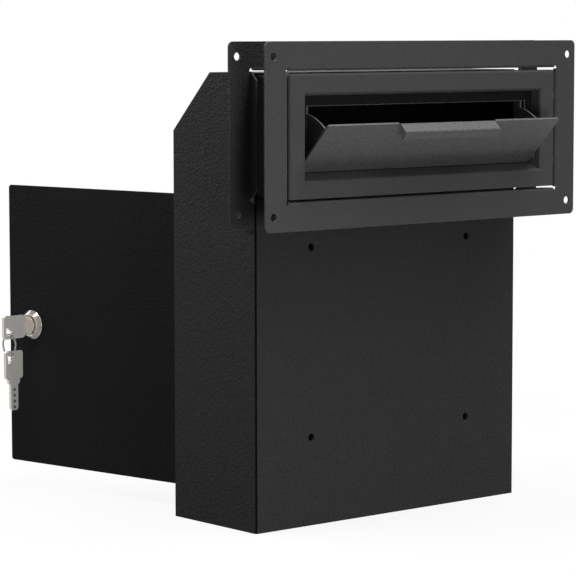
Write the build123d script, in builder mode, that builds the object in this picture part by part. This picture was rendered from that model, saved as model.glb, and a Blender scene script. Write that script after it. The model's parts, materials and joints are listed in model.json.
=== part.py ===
from build123d import *

import os
from math import acos, asin, atan2, cos, hypot, radians, sin, sqrt, tan

# Through-the-door key drop box of folded steel sheet, in millimetres. X is width, Y runs from the street
# side (negative) to the room side, Z is up. The origin is the centre of the box's base.

# ---------------------------------------------------------------- driving dimensions
# Sheet metal
sheet = 1.5  # every folded sheet
bend_inside = 0.5  # inside radius of a fold
weld_touch = 0.1  # gap left between sheets that are spot welded together
slide_fit = 0.3  # gap all round the sliding sleeve
edge_gap = 0.75  # gap round the door in its opening

# Box
box_width = 254.0
box_depth = 92.0
box_height = 322.0
slope = 42.0  # the rear top corner is cut off at 45 degrees
mouth_below_top = 86.3  # the front wall ends here, and the sleeve goes in above it
shelf_depth = 12.0  # fold at the top of the front wall that carries the sleeve
wall_hole = 5.5
wall_hole_from_side = 50.95
wall_hole_low = 63.5
wall_hole_below_mouth = 36.8
base_rim = 12.0  # upturned rim of the base pan
top_setback = 2.0  # front edge of the top panel, behind the front wall's face
rear_strip = 54.0  # the top panel folds down over the rear wall to this far below the top
stiffener = 12.0  # depth of the folded edges inside the box
stiffener_start = -8.0  # the top panel's folded edges start behind the sleeve

# The two flanges that clamp the host door between them
cutout_beside_box = 3.0
cutout_above_box = 1.7
cutout_below_mouth = 1.1
flange_beside = 20.0  # width of the flange at each side of its cutout
flange_above = 19.95
flange_below = 20.1
flange_corner = 4.0
lip = 8.0  # folded edge round the cutout
relief = 0.7  # each lip ends this far from the cutout's corner
bolt_hole = 5.6
bolt_from_side = 7.35
bolt_from_end = 10.325  # from the flange's upper and lower edges
host_gap = 37.1  # room for the host door between the flanges, as pictured
flange_tab = 12.0  # tab behind each lower leg of the rear flange, welded to the side wall
flange_tab_below_cutout = 2.8
dimple_base = 3.0
dimple_top = 1.8
dimple_pitch_z = 48.0
dimple_behind_face = 4.2

# Chute: bezel, sleeve and floor
bezel_gap_side = 1.2
bezel_gap_low = 1.6
bezel_gap_top = 1.7
bezel_rim = 6.0
opening_from_side = 14.8
opening_from_low = 9.4
opening_from_top = 15.0
opening_corner = 3.0
recess_depth = 8.6
hinge_wall_depth = 16.6  # side walls of the recess, which carry the scoop's pivot
sill_lift = 2.9  # where the sill would meet the bezel's face without its fold, above the opening's edge
sill_angle = 23.3
sill_run = 11.4
sleeve_overlap = 32.0  # length of sleeve inside the box, as pictured
sleeve_seat = 0.3  # the sleeve stops short of the fold inside the bezel's rim
stop_side = 8.0  # how far the stop frame shows at each side of the opening
stop_head = 7.8  # and at its top
stop_leg = 40.0
floor_above_sill = 4.4
floor_fold = 6.0
floor_short = 2.0  # the floor ends this far inside the sleeve
floor_side_gap = 1.1

# Scoop
scoop_angle = 44.5  # how far it stands open, as pictured
scoop_side_gap = 1.8
scoop_top_gap = 6.0
scoop_below = 4.1  # panel below the pivot
scoop_corner = 2.0
pivot_above_edge = 13.6  # above the opening's lower edge
pivot_behind_face = 10.3
panel_to_pivot = 2.0
cheek_inset = 7.45  # from the panel's side edge
cheek_arc_radius = 49.7
cheek_arc_drop = 18.0  # the arc's centre is this far below the pivot
ear_rise = 11.0
ear_width = 8.0
heel_radius = 5.0
stop_gap = 0.05  # between the cheek's ear and the stop frame when open
pull_width = 92.0
pull_slit = 1.0
pull_out = 8.9
pull_down = 6.6
rod_radius = 1.9
rod_play = 0.05
rod_past_wall = 4.3
bush_radius = 3.0
bush_play = 0.05
bush_flange_radius = 4.5
bush_flange = 1.0
bush_proud = 0.2
clip_radius = 4.0
clip_thickness = 1.0
clip_gap = 0.1

# Rear door
door_from_side = 26.5
door_low = 17.2
door_below_top = 89.5
door_corner = 2.5
door_angle = 99.5  # how far it stands open, as pictured
stop_strip = 5.0  # how far the door overlaps the stop ring
stop_ring_inset = 4.2  # from the box's side
stop_ring_above = 10.5  # above the door
pan_inset = 6.5
pan_rim = 3.0
pan_depth = 8.0
pan_access = 12.2  # radius of the hole in the pan round the lock

# Hinge
hinge_short = 12.65  # the hinge ends this far from the door's upper and lower edges
knuckle_count = 7
knuckle_gap = 0.4
knuckle_radius = 2.5
hinge_pin_radius = 1.25
hinge_pin_play = 0.05
pin_head = 1.2
pin_head_radius = 2.1
leaf_width = 19.0
leaf_thickness = 1.0
leaf_start = 2.8  # the leaf begins clear of the other leaf's knuckles
rivet_count = 4
rivet_from_end = 17.0
rivet_from_pin = 14.5
rivet_radius = 1.3
rivet_head_radius = 2.6
rivet_head = 1.1
rivet_tail_radius = 2.0
rivet_tail = 1.0
rivet_play = 0.05

# Lock
lock_from_edge = 24.1
lock_rim_radius = 11.4
lock_rim = 0.7
lock_face_radius = 8.4
lock_rise = 4.0
lock_body_radius = 9.4
lock_flats = 16.4
lock_body_depth = 18.7
lock_hole_play = 0.15
plug_radius = 6.0
plug_play = 0.05
plug_proud = 0.2
plug_end_gap = 0.3
tail_square = 7.0
tail_short = 0.2  # the square tail stops short of the cam's far face
washer_thickness = 0.8
washer_radius = 11.5
nut_thickness = 3.0
nut_radius = 11.4
nut_slot = 2.5
nut_slot_count = 6
nut_thread_gap = 0.05
cam_length = 30.0
cam_width = 13.0
cam_thickness = 2.0
cam_corner = 2.0
cam_play = 0.1
screw_radius = 1.5
screw_head_radius = 4.0
screw_head = 2.4
screw_grip = 4.0
screw_slot = 1.0
screw_play = 0.05
keeper_height = 36.0
keeper_reach = 9.5  # overlap of the cam behind the keeper
keeper_clear = 0.4  # between the turned cam and the keeper's face
keeper_end_gap = 0.6  # between the turned cam's tip and the keeper's riser
keeper_foot = 14.0

# Keys
key_thickness = 2.3
blade_length = 19.5
blade_width = 7.5
blade_tip = 1.5
blade_play = 0.1
shoulder_length = 4.6
shoulder_width = 11.6
shoulder_taper = 1.9
bow_length = 22.0
bow_width = 18.0
bow_corner = 2.5
key_hole_edge = 2.5  # from the bow's end to the hole's wide side
key_hole_left = 7.3  # the hole is a rounded triangle: its wide side runs from here, left of the middle
key_hole_right = 0.9  # to here, right of it
key_hole_point = 5.8  # and its point lies this far left
key_hole_length = 8.8
key_hole_round = 1.0
hang_offset = 4.0  # the ring hangs this far left of the key's middle
ring_from_end = 6.5  # and this far from the end of the key in the lock
pit_radius = 1.1
pit_depth = 0.4
pit_pitch = 4.5
pit_from_tip = 1.0  # the first pit from the end of the tip's chamfer
pit_count = 4
ring_radius = 8.2
ring_wire = 0.95
ring_play = 0.15
ring_drop = 5.4  # top of the ring's wire line, left of the middle of the key in the lock
ring_turn = 8.0  # the ring hangs a little askew

# ---------------------------------------------------------------- places that follow from them
fold = bend_inside + sheet / 2  # fold radius of a sheet's mid line
bend_outside = bend_inside + sheet
front_y = -box_depth / 2
rear_y = box_depth / 2
inner_x = box_width / 2 - sheet
welded_x = inner_x - weld_touch
inner_top = box_height - sheet
front_wall_height = box_height - mouth_below_top
wall_hole_pitch_x = box_width - 2 * wall_hole_from_side
wall_hole_pitch_z = front_wall_height - wall_hole_below_mouth - wall_hole_low
rear_strip_low = box_height - rear_strip
cutout_width = box_width + 2 * cutout_beside_box
cutout_low = front_wall_height - cutout_below_mouth
cutout_height = box_height + cutout_above_box - cutout_low
cutout_mid = cutout_low + cutout_height / 2
flange_width = cutout_width + 2 * flange_beside
flange_height = cutout_height + flange_above + flange_below
flange_low = cutout_low - flange_below
flange_mid = flange_low + flange_height / 2
bolt_pitch_x = flange_width - 2 * bolt_from_side
bolt_pitch_z = flange_height - 2 * bolt_from_end
flange_tab_top = cutout_low - flange_tab_below_cutout
plate_y = front_y - host_gap - sheet  # street face of the front flange and the bezel
plate_back = plate_y + sheet
plate_mid_y = plate_y + sheet / 2
bezel_width = cutout_width - 2 * bezel_gap_side
bezel_low = cutout_low + bezel_gap_low
bezel_height = cutout_height - bezel_gap_low - bezel_gap_top
bezel_mid = bezel_low + bezel_height / 2
opening_width = bezel_width - 2 * opening_from_side
opening_x = opening_width / 2
opening_low = bezel_low + opening_from_low
opening_top = bezel_low + bezel_height - opening_from_top
sill_apex = opening_low + sill_lift
stop_opening = opening_width - 2 * stop_side
stop_top = opening_top - stop_head
stop_leg_low = opening_top - stop_leg
floor_crest = sill_apex + floor_above_sill
stop_y = plate_y + recess_depth
sleeve_x = inner_x - slide_fit
sleeve_top = inner_top - slide_fit
sleeve_rear = front_y + sleeve_overlap
sleeve_inner_x = sleeve_x - sheet
pivot_y = plate_y + pivot_behind_face
pivot_height = opening_low + pivot_above_edge
rod_hole = rod_radius + rod_play
rod_length = opening_width + 2 * rod_past_wall
scoop_width = opening_width - 2 * scoop_side_gap
scoop_above = opening_top - scoop_top_gap - pivot_height  # panel above the pivot
cheek_outside = scoop_width - 2 * cheek_inset
door_width = box_width - 2 * door_from_side
door_height = box_height - door_below_top - door_low
door_mid = door_low + door_height / 2
gate_x = door_width / 2 + edge_gap  # half width of the opening in the rear wall
gate_height = door_height + 2 * edge_gap
stop_edge = edge_gap + stop_strip
stop_ring_half_width = box_width / 2 - stop_ring_inset
stop_ring_top = door_low + door_height + stop_ring_above
base_clear = base_rim + 2 * weld_touch
pin_x = -gate_x
pin_y = rear_y + knuckle_radius
door_face = -knuckle_radius  # outer face of the closed door, measured from the hinge pin
door_inside = door_face - sheet
door_centre = edge_gap + door_width / 2
lock_t = edge_gap + door_width - lock_from_edge
plug_front = lock_rise + plug_proud
plug_end = lock_body_depth + plug_end_gap
cam_back = plug_end + cam_thickness
tail_end = cam_back - tail_short
hinge_length = door_height - 2 * hinge_short
rivet_pitch = (hinge_length - 2 * rivet_from_end) / (rivet_count - 1)
rivet_spots = [
    (rivet_from_pin, rivet_from_end - hinge_length / 2 + index * rivet_pitch) for index in range(rivet_count)
]
rivet_hole = rivet_radius + rivet_play

# Frames of the moving parts as pictured. Each is modelled shut, about its own pivot.
scoop_turn = radians(scoop_angle)
scoop_place = Plane(
    origin=(0, pivot_y, pivot_height),
    x_dir=(1, 0, 0),
    z_dir=(0, -sin(scoop_turn), cos(scoop_turn)),
)
door_turn = radians(door_angle)
door_along = Vector(cos(door_turn), sin(door_turn), 0)
door_out = Vector(-sin(door_turn), cos(door_turn), 0)
door_pivot = Vector(pin_x, pin_y, door_mid)
up = Vector(0, 0, 1)
door_place = Plane(origin=door_pivot, x_dir=door_along, z_dir=up)
frame_leaf_place = Plane(origin=door_pivot, x_dir=(-1, 0, 0), z_dir=(0, 0, -1))
lock_centre = door_pivot + door_along * lock_t + door_out * door_face
lock_place = Plane(origin=lock_centre, x_dir=up, z_dir=door_out)


def flat(face_y, mid_z):
    """A plane facing the street, seen with X to the right and Z up."""
    return Plane(origin=(0, face_y, mid_z), x_dir=(1, 0, 0), z_dir=(0, -1, 0))


def strip_section(plane, *points):
    """The section of a folded sheet: its mid line with rounded folds, one sheet thick."""
    with BuildSketch(plane) as section:
        with BuildLine():
            FilletPolyline(*points, radius=fold)
        trace(line_width=sheet)
    return section.sketch


def export_piece(piece, name, place=Plane.XY):
    """Move a finished piece to its place, label it and write it to its own file."""
    placed = piece.part.moved(place.location)
    placed.label = name
    os.makedirs("parts", exist_ok=True)
    export_step(placed, f"parts/{name}.step")


# ---------------------------------------------------------------- case
# One sheet makes the front wall and both sides. The top of the front wall folds in as a shelf.
wrap_x = box_width / 2 - sheet / 2
wrap_front = front_y + sheet / 2
shelf_mid = front_wall_height - sheet / 2
with BuildPart() as case_wrap:
    extrude(
        strip_section(
            Plane.XY, (-wrap_x, rear_y), (-wrap_x, wrap_front), (wrap_x, wrap_front), (wrap_x, rear_y)
        ),
        amount=box_height,
    )
    with BuildSketch(Plane.YZ):
        with BuildLine():
            Polyline(
                (rear_y, box_height), (rear_y - slope, box_height), (rear_y, box_height - slope), close=True
            )
        make_face()
    extrude(amount=box_width, both=True, mode=Mode.SUBTRACT)
    with BuildSketch(flat(front_y, front_wall_height - bend_outside)):
        Rectangle(2 * inner_x, box_height, align=(Align.CENTER, Align.MIN))
    extrude(amount=-bend_outside, mode=Mode.SUBTRACT)
    extrude(
        strip_section(
            Plane.YZ,
            (wrap_front, shelf_mid - 2 * bend_outside),
            (wrap_front, shelf_mid),
            (front_y + shelf_depth, shelf_mid),
        ),
        amount=inner_x - bend_inside,
        both=True,
    )
    with Locations(flat(front_y, wall_hole_low + wall_hole_pitch_z / 2)):
        with GridLocations(wall_hole_pitch_x, wall_hole_pitch_z, 2, 2):
            Hole(wall_hole / 2, depth=bend_outside)
export_piece(case_wrap, "case_wrap")

# The top, the slope and a strip of the rear wall are one sheet with folded side edges.
slope_turn = radians(45)
half_fold = tan(slope_turn / 2)
top_mid = box_height - sheet / 2
slope_start = rear_y - slope - half_fold * sheet / 2
slope_end = box_height - slope - half_fold * sheet / 2
rear_mid = rear_y - sheet / 2
edge_step = stiffener * cos(slope_turn)
with BuildPart() as top_panel:
    extrude(
        strip_section(
            Plane.YZ,
            (front_y + top_setback, top_mid),
            (slope_start, top_mid),
            (rear_mid, slope_end),
            (rear_mid, rear_strip_low),
        ),
        amount=welded_x,
        both=True,
    )
    for edge_x in (-welded_x, welded_x - sheet):
        with BuildSketch(Plane.YZ.offset(edge_x)):
            with BuildLine():
                Polyline(
                    (stiffener_start, top_mid),
                    (slope_start, top_mid),
                    (rear_mid, slope_end),
                    (rear_mid - edge_step, slope_end - edge_step),
                    (slope_start - stiffener * half_fold, top_mid - stiffener),
                    (stiffener_start, top_mid - stiffener),
                    close=True,
                )
            make_face()
        extrude(amount=sheet)
export_piece(top_panel, "top_panel")

# The base is a shallow pan with an upturned rim, welded inside the walls.
with BuildPart() as bottom_panel:
    Box(
        2 * welded_x,
        box_depth - 2 * (sheet + weld_touch),
        base_rim,
        align=(Align.CENTER, Align.CENTER, Align.MIN),
    )
    fillet(bottom_panel.edges().filter_by(Axis.Z), bend_outside)
    fillet(bottom_panel.faces().sort_by(Axis.Z)[0].edges(), bend_outside)
    offset(amount=-sheet, openings=bottom_panel.faces().sort_by(Axis.Z)[-1])
export_piece(bottom_panel, "bottom_panel")

# Rear wall: a flat sheet with the door's opening, folded forward inside both sides above the base pan.
frame_top = rear_strip_low - weld_touch
with BuildPart() as rear_frame:
    extrude(
        strip_section(
            Plane.XY.offset(base_clear),
            (sheet / 2 - welded_x, rear_y - stiffener),
            (sheet / 2 - welded_x, rear_mid),
            (welded_x - sheet / 2, rear_mid),
            (welded_x - sheet / 2, rear_y - stiffener),
        ),
        amount=frame_top - base_clear,
    )
    with BuildSketch(flat(rear_y - sheet, 0)):
        Rectangle(2 * (welded_x - bend_outside), 2 * base_clear, align=(Align.CENTER, Align.MIN))
        Rectangle(2 * welded_x, base_clear, align=(Align.CENTER, Align.MIN))
    extrude(amount=-sheet)
    with BuildSketch(flat(rear_y - sheet, door_mid)):
        RectangleRounded(2 * gate_x, gate_height, door_corner)
    extrude(amount=-sheet, mode=Mode.SUBTRACT)
    with Locations(flat(rear_y - sheet, door_mid)):
        with Locations(*[(pin_x - x, z) for x, z in rivet_spots]):
            Hole(rivet_hole, depth=sheet)
export_piece(rear_frame, "rear_frame")

# A ring behind the rear wall stops the closing door.
ring_low = base_clear + weld_touch
with BuildPart() as door_stop:
    with BuildSketch(flat(rear_y - 2 * sheet, 0)):
        with Locations((0, (ring_low + stop_ring_top) / 2)):
            Rectangle(2 * stop_ring_half_width, stop_ring_top - ring_low)
        with Locations((0, door_mid)):
            Rectangle(2 * (gate_x - stop_edge), gate_height - 2 * stop_edge, mode=Mode.SUBTRACT)
    extrude(amount=-sheet)
    with Locations(flat(rear_y - 2 * sheet, door_mid)):
        with Locations(*[(pin_x - x, z) for x, z in rivet_spots]):
            Hole(rivet_hole, depth=sheet)
export_piece(door_stop, "door_stop")

# The cam turns in behind this bracket on the stop ring.
keeper_face = rear_y - (plug_end - keeper_clear)
keeper_riser = pin_x + lock_t + cam_length + keeper_end_gap + sheet / 2
keeper_foot_y = rear_y - 2 * sheet - sheet / 2
with BuildPart() as cam_keeper:
    extrude(
        strip_section(
            Plane.XY.offset(door_mid - keeper_height / 2),
            (keeper_riser + keeper_foot, keeper_foot_y),
            (keeper_riser, keeper_foot_y),
            (keeper_riser, keeper_face + sheet / 2),
            (keeper_riser - keeper_reach - keeper_end_gap - sheet / 2, keeper_face + sheet / 2),
        ),
        amount=keeper_height,
    )
export_piece(cam_keeper, "cam_keeper")


# ---------------------------------------------------------------- flanges
def flange_lip(length):
    """A lip folded off a plate: the fold runs along X at Y 0, the plate goes up Y and the lip down Z."""
    with BuildPart() as piece:
        extrude(
            strip_section(
                Plane.YZ, (2 * bend_outside, -sheet / 2), (sheet / 2, -sheet / 2), (sheet / 2, -lip)
            ),
            amount=length / 2,
            both=True,
        )
        chamfer_size = lip - bend_outside
        for end in (-length / 2, length / 2):
            inward = chamfer_size if end < 0 else -chamfer_size
            with BuildSketch(Plane.XZ):
                with BuildLine():
                    Polyline((end, -bend_outside), (end, -lip), (end + inward, -lip), close=True)
                make_face()
            extrude(amount=sheet, both=True, mode=Mode.SUBTRACT)
    return piece.part


def cutout_edge(side_x, side_z, face_y, facing):
    """A plane on one edge of the cutout: Y points away from the opening, Z out of the given face."""
    away = Vector(side_x, 0, side_z)
    normal = Vector(0, facing, 0)
    middle = Vector(side_x * cutout_width / 2, face_y, cutout_mid + side_z * cutout_height / 2)
    return Plane(origin=middle, x_dir=away.cross(normal), z_dir=normal)


def plate_cutout():
    """Cut the hole in a flange's plate. Its rounded corners end where the folds of the lips begin."""
    with Locations((0, cutout_mid - flange_mid)):
        RectangleRounded(
            cutout_width + 2 * bend_outside,
            cutout_height + 2 * bend_outside,
            bend_outside + relief,
            mode=Mode.SUBTRACT,
        )


side_lip = flange_lip(cutout_height - 2 * relief)
long_lip = flange_lip(cutout_width - 2 * relief)

# The rear flange is an inverted U. Its lips point at the host door, its lower legs are welded to the sides.
tab_x = box_width / 2 + sheet / 2
with BuildPart() as rear_flange:
    with BuildSketch(flat(front_y, flange_mid)):
        RectangleRounded(flange_width, flange_height, flange_corner)
        plate_cutout()
        with Locations((0, -flange_height / 2)):
            Rectangle(box_width + 2 * bend_outside, flange_height, mode=Mode.SUBTRACT)
    extrude(amount=-sheet)
    for side in (-1, 1):
        with Locations(cutout_edge(side, 0, front_y + sheet, 1)):
            add(side_lip)
        extrude(
            strip_section(
                Plane.XY.offset(flange_low),
                (side * (tab_x + 2 * bend_outside), wrap_front),
                (side * tab_x, wrap_front),
                (side * tab_x, front_y + flange_tab),
            ),
            amount=flange_tab_top - flange_low,
        )
    with Locations(cutout_edge(0, 1, front_y + sheet, 1)):
        add(long_lip)
    with Locations(flat(front_y, flange_mid)):
        with GridLocations(bolt_pitch_x, bolt_pitch_z, 2, 2):
            Hole(bolt_hole / 2, depth=sheet)
export_piece(rear_flange, "rear_flange")

# The front flange is closed all round. Four dimples on its side lips are welded to the bezel's rim.
dimple_height = (cutout_width - bezel_width) / 2
dimple_y = plate_y + dimple_behind_face
with BuildPart() as front_flange:
    with BuildSketch(flat(plate_y, flange_mid)):
        RectangleRounded(flange_width, flange_height, flange_corner)
        plate_cutout()
    extrude(amount=-sheet)
    for side in (-1, 1):
        with Locations(cutout_edge(side, 0, plate_y, -1)):
            add(side_lip)
        with Locations(cutout_edge(0, side, plate_y, -1)):
            add(long_lip)
        for level in (-dimple_pitch_z / 2, dimple_pitch_z / 2):
            root = (side * cutout_width / 2, dimple_y, cutout_mid + level)
            with Locations(Plane(origin=root, z_dir=(-side, 0, 0))):
                Cone(
                    dimple_base,
                    dimple_top,
                    dimple_height,
                    align=(Align.CENTER, Align.CENTER, Align.MIN),
                )
    with Locations(flat(plate_y, flange_mid)):
        with GridLocations(bolt_pitch_x, bolt_pitch_z, 2, 2):
            Hole(bolt_hole / 2, depth=sheet)
export_piece(front_flange, "front_flange")

# ---------------------------------------------------------------- chute
# The bezel's rim folds back on three sides, its opening folds back at the sides and top, and the sill at
# the bottom of the opening rises towards the box.
sill_turn = radians(sill_angle)
sill_mid_end = (
    plate_y + sill_run + sin(sill_turn) * sheet / 2,
    sill_apex + sill_run * tan(sill_turn) - cos(sill_turn) * sheet / 2,
)
sill_mid_apex = sill_apex + (tan(sill_turn) - 1 / cos(sill_turn)) * sheet / 2
with BuildPart() as chute_bezel:
    with Locations((0, plate_y, bezel_mid)):
        Box(bezel_width, bezel_rim, bezel_height, align=(Align.CENTER, Align.MIN, Align.CENTER))
    face_edges = chute_bezel.faces().sort_by(Axis.Y)[0].edges().sort_by(Axis.Z)[1:]
    top_corners = chute_bezel.edges().filter_by(Axis.Y).sort_by(Axis.Z)[-2:]
    fillet(face_edges + top_corners, bend_outside)
    rear_side = chute_bezel.faces().sort_by(Axis.Y)[-1]
    low_side = chute_bezel.faces().sort_by(Axis.Z)[0]
    offset(amount=-sheet, openings=[rear_side, low_side])
    with BuildSketch(flat(plate_y, (opening_low + opening_top + bend_outside) / 2)):
        RectangleRounded(
            opening_width + 2 * bend_outside, opening_top + bend_outside - opening_low, opening_corner
        )
    extrude(amount=-sheet, mode=Mode.SUBTRACT)
    for side in (-1, 1):
        extrude(
            strip_section(
                Plane.XY.offset(opening_low),
                (side * (opening_x + 2 * bend_outside), plate_mid_y),
                (side * (opening_x + sheet / 2), plate_mid_y),
                (side * (opening_x + sheet / 2), plate_y + hinge_wall_depth),
            ),
            amount=opening_top + sheet - opening_low,
        )
    extrude(
        strip_section(
            Plane.YZ,
            (plate_mid_y, opening_top + 2 * bend_outside),
            (plate_mid_y, opening_top + sheet / 2),
            (stop_y + sheet, opening_top + sheet / 2),
        ),
        amount=opening_x + sheet,
        both=True,
    )
    extrude(
        strip_section(
            Plane.YZ, (plate_mid_y, opening_low - bend_outside), (plate_mid_y, sill_mid_apex), sill_mid_end
        ),
        amount=opening_x + sheet,
        both=True,
    )
    with Locations((0, pivot_y, pivot_height)):
        Cylinder(
            bush_radius + bush_play,
            bezel_width - 4 * bend_outside,
            rotation=(0, 90, 0),
            mode=Mode.SUBTRACT,
        )
export_piece(chute_bezel, "chute_bezel")

# The sleeve slides in the box, so the pair fits host doors of different thickness.
sleeve_front = plate_back + sleeve_seat
with BuildPart() as chute_sleeve:
    with BuildSketch(flat(sleeve_front, (bezel_low + sleeve_top) / 2)):
        RectangleRounded(2 * sleeve_x, sleeve_top - bezel_low, bend_outside)
        RectangleRounded(
            2 * sleeve_inner_x, sleeve_top - bezel_low - 2 * sheet, bend_inside, mode=Mode.SUBTRACT
        )
    extrude(amount=sleeve_front - sleeve_rear)
export_piece(chute_sleeve, "chute_sleeve")

# The shut scoop rests on this frame, and the ears of the open scoop catch behind it.
with BuildPart() as stop_frame:
    with BuildSketch(flat(stop_y, 0)):
        with Locations((0, stop_leg_low)):
            Rectangle(opening_width, opening_top - stop_leg_low, align=(Align.CENTER, Align.MIN))
            Rectangle(
                stop_opening, stop_top - stop_leg_low, align=(Align.CENTER, Align.MIN), mode=Mode.SUBTRACT
            )
    extrude(amount=-sheet)
export_piece(stop_frame, "stop_frame")

# Keys slide from the sill down this floor into the box.
floor_front = plate_y + sill_run + sheet * sin(sill_turn) + weld_touch
notch_x = opening_x - slide_fit
notch_rear = plate_y + hinge_wall_depth + slide_fit
with BuildPart() as chute_floor:
    extrude(
        strip_section(
            Plane.YZ,
            (floor_front + sheet / 2, floor_crest - floor_fold),
            (floor_front + sheet / 2, floor_crest),
            (sleeve_rear - floor_short, bezel_low + sheet + sheet / 2),
        ),
        amount=sleeve_inner_x - floor_side_gap,
        both=True,
    )
    for side, hand in ((-1, Align.MAX), (1, Align.MIN)):
        with Locations((side * notch_x, notch_rear, bezel_low)):
            Box(
                sleeve_inner_x - notch_x,
                hinge_wall_depth,
                bezel_height,
                align=(hand, Align.MAX, Align.MIN),
                mode=Mode.SUBTRACT,
            )
export_piece(chute_floor, "chute_floor")

# Flanged bushes for the scoop's rod, in the side walls of the recess.
with BuildPart() as pivot_bushes:
    for side in (-1, 1):
        for radius, start, length in (
            (bush_flange_radius, opening_x - bush_flange, bush_flange),
            (bush_radius, opening_x, sheet + bush_proud),
        ):
            with Locations(Plane(origin=(side * start, pivot_y, pivot_height), z_dir=(side, 0, 0))):
                Cylinder(radius, length, align=(Align.CENTER, Align.CENTER, Align.MIN))
    with Locations((0, pivot_y, pivot_height)):
        Cylinder(rod_hole, bezel_width, rotation=(0, 90, 0), mode=Mode.SUBTRACT)
export_piece(pivot_bushes, "pivot_bushes")

# ---------------------------------------------------------------- scoop, modelled shut about its rod
pull_mid_z = scoop_above - sheet / 2
pull_far_y = -(panel_to_pivot + sheet / 2 + pull_out)
with BuildPart() as scoop_panel:
    with BuildSketch(flat(-panel_to_pivot - sheet, (scoop_above - scoop_below) / 2)):
        RectangleRounded(scoop_width, scoop_above + scoop_below, scoop_corner)
        with Locations((0, (scoop_above + scoop_below) / 2)):
            Rectangle(pull_width + 2 * pull_slit, 2 * bend_outside, mode=Mode.SUBTRACT)
    extrude(amount=-sheet)
    extrude(
        strip_section(
            Plane.YZ,
            (-panel_to_pivot - sheet / 2, scoop_above - 2 * bend_outside),
            (-panel_to_pivot - sheet / 2, pull_mid_z),
            (pull_far_y, pull_mid_z),
            (pull_far_y, scoop_above - pull_down),
        ),
        amount=pull_width / 2,
        both=True,
    )
export_piece(scoop_panel, "scoop_panel", scoop_place)


def shut_point(open_y, open_z):
    """Where a point that is seen on the open scoop lies on the shut one, both measured from the rod."""
    return (
        open_y * cos(scoop_turn) + open_z * sin(scoop_turn),
        open_z * cos(scoop_turn) - open_y * sin(scoop_turn),
    )


# Each cheek is a quadrant whose ear stands upright behind the stop frame when the scoop is open.
ear_front = recess_depth + sheet + stop_gap - pivot_behind_face
ear_rear = ear_front + ear_width
arc_centre_open_y = cheek_arc_drop * sin(scoop_turn)
arc_centre_open_z = -cheek_arc_drop * cos(scoop_turn)
ear_foot = arc_centre_open_z + sqrt(cheek_arc_radius**2 - (ear_front - arc_centre_open_y) ** 2)
ear_top = ear_foot + ear_rise
arc_start_z = sqrt(cheek_arc_radius**2 - panel_to_pivot**2) - cheek_arc_drop
arc_start_angle = atan2(arc_start_z + cheek_arc_drop, -panel_to_pivot)
arc_end = shut_point(ear_front, ear_foot)
arc_end_angle = atan2(arc_end[1] + cheek_arc_drop, arc_end[0])
arc_mid_angle = (arc_start_angle + arc_end_angle) / 2
heel_angle = atan2(ear_top, ear_rear) - acos(heel_radius / hypot(ear_top, ear_rear))
heel_low = -sqrt(heel_radius**2 - panel_to_pivot**2)


def scoop_cheek(face_x):
    """The cheek whose left face is at the given X."""
    with BuildPart() as piece:
        with BuildSketch(Plane.YZ.offset(face_x)):
            with BuildLine():
                ThreePointArc(
                    (-panel_to_pivot, arc_start_z),
                    (
                        cheek_arc_radius * cos(arc_mid_angle),
                        cheek_arc_radius * sin(arc_mid_angle) - cheek_arc_drop,
                    ),
                    arc_end,
                )
                heel_start = shut_point(heel_radius * cos(heel_angle), heel_radius * sin(heel_angle))
                Polyline(arc_end, shut_point(ear_front, ear_top), shut_point(ear_rear, ear_top), heel_start)
                ThreePointArc(heel_start, (0, -heel_radius), (-panel_to_pivot, heel_low))
                Line((-panel_to_pivot, heel_low), (-panel_to_pivot, arc_start_z))
            make_face()
            Circle(rod_hole, mode=Mode.SUBTRACT)
        extrude(amount=sheet)
    return piece


export_piece(scoop_cheek(-cheek_outside / 2), "scoop_cheek_left", scoop_place)
export_piece(scoop_cheek(cheek_outside / 2 - sheet), "scoop_cheek_right", scoop_place)

with BuildPart() as pivot_rod:
    Cylinder(rod_radius, rod_length, rotation=(0, 90, 0))
export_piece(pivot_rod, "pivot_rod", scoop_place)

clip_x = opening_x + sheet + bush_proud + clip_gap
with BuildPart() as rod_clips:
    for side in (-1, 1):
        with Locations(Plane(origin=(side * clip_x, 0, 0), z_dir=(side, 0, 0))):
            Cylinder(clip_radius, clip_thickness, align=(Align.CENTER, Align.CENTER, Align.MIN))
    Cylinder(rod_radius, rod_length, rotation=(0, 90, 0), mode=Mode.SUBTRACT)
export_piece(rod_clips, "rod_clips", scoop_place)

# ---------------------------------------------------------------- rear door, modelled shut about its pin
with BuildPart() as door_panel:
    with BuildSketch(flat(door_face, 0)):
        with Locations((door_centre, 0)):
            RectangleRounded(door_width, door_height, door_corner)
    extrude(amount=sheet)
    with BuildSketch(flat(door_face, 0)):
        with Locations((lock_t, 0)):
            Circle(lock_body_radius + lock_hole_play)
            Rectangle(lock_flats + 2 * lock_hole_play, 2 * lock_rim_radius, mode=Mode.INTERSECT)
    extrude(amount=sheet, mode=Mode.SUBTRACT)
    with Locations(flat(door_inside, 0)):
        with Locations(*rivet_spots):
            Hole(rivet_hole, depth=sheet)
export_piece(door_panel, "door_panel", door_place)

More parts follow.
